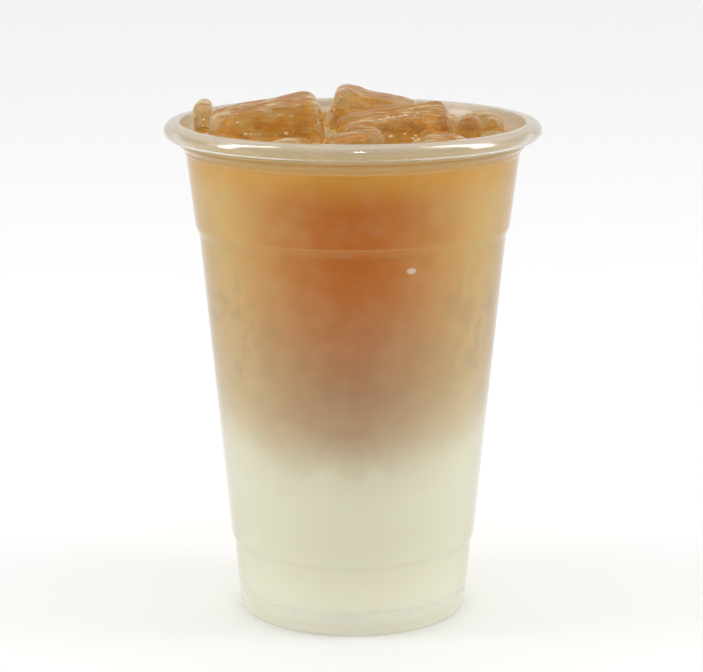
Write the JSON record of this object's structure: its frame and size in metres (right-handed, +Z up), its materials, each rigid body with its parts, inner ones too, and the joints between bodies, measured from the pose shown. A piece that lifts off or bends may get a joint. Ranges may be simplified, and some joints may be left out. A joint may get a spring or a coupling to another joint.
{
  "type": "iced milk tea in a plastic cup",
  "caption": "Iced milk tea in a tall clear takeaway cup: amber tea above cream milk, melting ice heaped over the rolled rim, no lid or straw.",
  "frame": {"origin": "middle of the cup's foot, on the surface it stands on", "axes": "+Z up along the cup's axis; -Y towards the front that the picture shows; +X to the right in that view"},
  "size_m": [0.095, 0.095, 0.1345],
  "materials": {
    "cup": "clear, faintly cloudy moulded polypropylene with a glossy rolled lip",
    "milk": "opaque cream-white liquid with a wet gloss",
    "tea": "cloudy amber milk tea, paler towards the milk, with a wet gloss",
    "ice": "wet, half-melted clear ice, tinted amber by the tea"
  },
  "bodies": {
    "root": {"cup": "cup", "milk": "milk", "tea": "tea", "ice_left": "ice", "ice_left_chip": "ice", "ice_peak": "ice", "ice_right": "ice", "ice_front": "ice", "ice_front_left": "ice", "ice_front_right": "ice", "ice_right_chip": "ice", "ice_back_right": "ice", "ice_back_left": "ice", "ice_back_middle": "ice", "ice_back": "ice", "ice_back_corner": "ice"}
  },
  "joints": []
}
